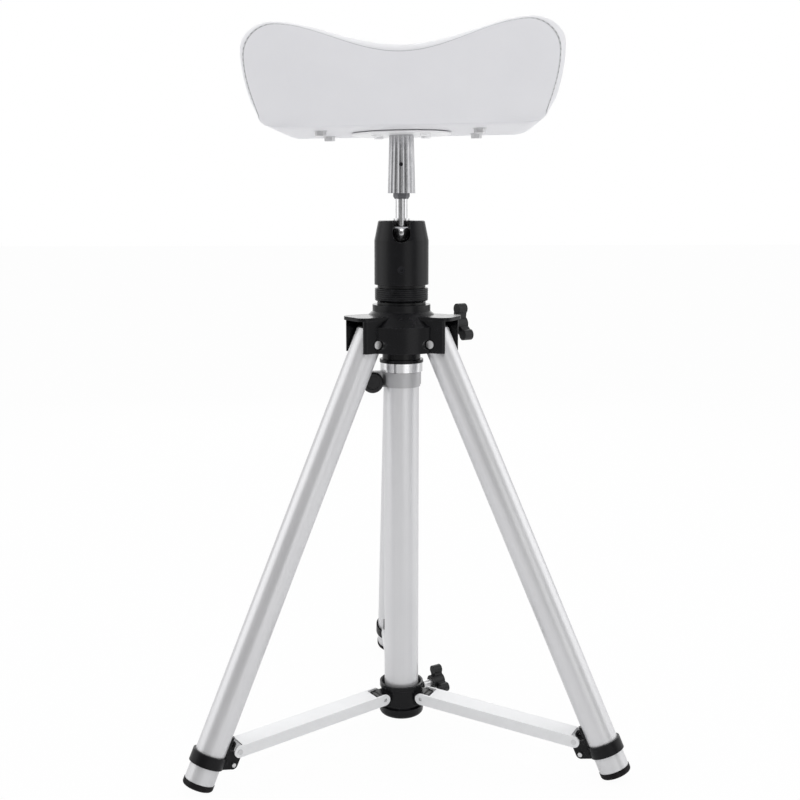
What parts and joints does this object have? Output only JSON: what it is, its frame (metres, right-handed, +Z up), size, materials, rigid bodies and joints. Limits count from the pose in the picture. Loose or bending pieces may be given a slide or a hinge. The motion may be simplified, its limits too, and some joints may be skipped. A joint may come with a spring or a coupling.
{
  "type": "pedicure footrest",
  "caption": "Pedicure footrest: white saddle cushion on a ball head, telescopic column and folding tripod with braces and knobs.",
  "frame": {"origin": "on the floor, in the middle of the box round the three feet; the column's axis stands 48.9 mm nearer to the front, at X = 0", "axes": "+Z up, +X to the right as seen from the front, +Y to the rear, towards the single rear leg"},
  "size_m": [0.366, 0.3204, 0.6139],
  "materials": {
    "black_casting": "gloss",
    "black_plastic": "satin",
    "dark_steel": "satin",
    "black_rubber": "matte",
    "satin_aluminium": "satin",
    "white_channel": "satin",
    "bright_zinc": "polished",
    "matt_zinc": "satin",
    "bush_plastic": "matte",
    "plywood": "matte",
    "white_leather": "satin"
  },
  "bodies": {
    "tripod": {"hub_casting": "black_casting", "neck_sleeve": "black_plastic", "outer_column": "satin_aluminium", "guide_bush": "bush_plastic", "column_end_cap": "black_plastic", "slotted_ring": "bright_zinc", "clamp_band": "matt_zinc", "clamp_nut": "matt_zinc", "leg_pivot_pins": "matt_zinc"},
    "collar": {"brace_collar": "black_plastic", "collar_pins": "matt_zinc"},
    "leg_1": {"leg_tube_1": "satin_aluminium", "leg_plug_1": "black_plastic", "foot_cap_1": "black_rubber", "leg_clamp_1": "black_casting", "clamp_bolt_1": "matt_zinc"},
    "leg_2": {"leg_tube_2": "satin_aluminium", "leg_plug_2": "black_plastic", "foot_cap_2": "black_rubber", "leg_clamp_2": "black_casting", "clamp_bolt_2": "matt_zinc"},
    "leg_3": {"leg_tube_3": "satin_aluminium", "leg_plug_3": "black_plastic", "foot_cap_3": "black_rubber", "leg_clamp_3": "black_casting", "clamp_bolt_3": "matt_zinc"},
    "brace_arm_1": {"brace_1": "white_channel", "brace_rivets_1": "matt_zinc"},
    "brace_arm_2": {"brace_2": "white_channel", "brace_rivets_2": "matt_zinc"},
    "brace_arm_3": {"brace_3": "white_channel", "brace_rivets_3": "matt_zinc"},
    "mast": {"inner_column": "satin_aluminium", "column_foot_plug": "bush_plastic", "head_adaptor": "black_casting"},
    "ball_head": {"head_body": "black_casting", "ball_cup": "bush_plastic", "cup_washer": "dark_steel", "head_grub_screw": "dark_steel"},
    "pan_lock": {"lock_ring": "black_casting"},
    "stem": {"ball_stem": "bright_zinc"},
    "rest": {"jam_nut": "dark_steel", "fluted_socket": "bright_zinc", "socket_pin": "dark_steel", "mount_flange": "bright_zinc", "flange_screws": "matt_zinc", "base_board": "plywood", "board_bolts": "matt_zinc", "board_tee_nuts": "matt_zinc", "cushion": "white_leather"},
    "column_knob": {"hub_knob_screw": "matt_zinc", "hub_knob": "black_plastic"},
    "collar_stop": {"collar_knob_screw": "matt_zinc", "collar_knob": "black_plastic"},
    "band_knob": {"clamp_screw": "matt_zinc", "round_knob": "black_plastic"}
  },
  "joints": [
    {"name": "collar_slide", "type": "slide", "parent": "tripod", "child": "collar", "axis": [0, 0, 1], "range_m": [0, 0.06015]},
    {"name": "leg_fold_1", "type": "hinge", "parent": "tripod", "child": "leg_1", "pos_m": [0, -0.01443, 0.3535], "axis": [-1, 0, 0], "range_deg": [0, 4]},
    {"name": "brace_swing_1", "type": "hinge", "parent": "collar", "child": "brace_arm_1", "pos_m": [0, -0.02593, 0.0376], "axis": [-1, 0, 0], "range_deg": [0, 29.66]},
    {"name": "leg_fold_2", "type": "hinge", "parent": "tripod", "child": "leg_2", "pos_m": [-0.02988, -0.06618, 0.3535], "axis": [0.5, -0.866, 0], "range_deg": [0, 4]},
    {"name": "brace_swing_2", "type": "hinge", "parent": "collar", "child": "brace_arm_2", "pos_m": [-0.01992, -0.06043, 0.0376], "axis": [0.5, -0.866, 0], "range_deg": [0, 29.66]},
    {"name": "leg_fold_3", "type": "hinge", "parent": "tripod", "child": "leg_3", "pos_m": [0.02988, -0.06618, 0.3535], "axis": [0.5, 0.866, 0], "range_deg": [0, 4]},
    {"name": "brace_swing_3", "type": "hinge", "parent": "collar", "child": "brace_arm_3", "pos_m": [0.01992, -0.06043, 0.0376], "axis": [0.5, 0.866, 0], "range_deg": [0, 29.66]},
    {"name": "column_slide", "type": "slide", "parent": "tripod", "child": "mast", "axis": [0, 0, 1], "range_m": [0, 0.2]},
    {"name": "head_pan", "type": "hinge", "parent": "mast", "child": "ball_head", "pos_m": [0, -0.04893, 0.3845], "axis": [0, 0, 1], "continuous": true},
    {"name": "lock_ring_turn", "type": "hinge", "parent": "ball_head", "child": "pan_lock", "pos_m": [0, -0.04893, 0.3925], "axis": [0, 0, 1], "range_deg": [0, 120]},
    {"name": "ball_tilt", "type": "hinge", "parent": "ball_head", "child": "stem", "pos_m": [0, -0.04893, 0.4435], "axis": [0.9981, -0.061, 0], "range_deg": [-12, 85]},
    {"name": "cushion_turn", "type": "hinge", "parent": "stem", "child": "rest", "pos_m": [0, -0.04893, 0.5], "axis": [0, 0, 1], "continuous": true},
    {"name": "column_knob_turn", "type": "hinge", "parent": "tripod", "child": "column_knob", "pos_m": [0.0485, -0.02093, 0.364], "axis": [0.866, 0.5, 0], "continuous": true},
    {"name": "collar_knob_turn", "type": "hinge", "parent": "collar", "child": "collar_stop", "pos_m": [0.03031, -0.03143, 0.038], "axis": [0.866, 0.5, 0], "continuous": true},
    {"name": "band_knob_turn", "type": "hinge", "parent": "tripod", "child": "band_knob", "pos_m": [-0.0249, -0.05493, 0.3187], "axis": [0, -1, 0], "continuous": true}
  ],
  "couplings": [
    {"joint": "leg_fold_1", "follows": "collar_slide", "rad_per_m": 1.1605},
    {"joint": "brace_swing_1", "follows": "collar_slide", "rad_per_m": 8.6056},
    {"joint": "leg_fold_2", "follows": "collar_slide", "rad_per_m": 1.1605},
    {"joint": "brace_swing_2", "follows": "collar_slide", "rad_per_m": 8.6056},
    {"joint": "leg_fold_3", "follows": "collar_slide", "rad_per_m": 1.1605},
    {"joint": "brace_swing_3", "follows": "collar_slide", "rad_per_m": 8.6056}
  ]
}
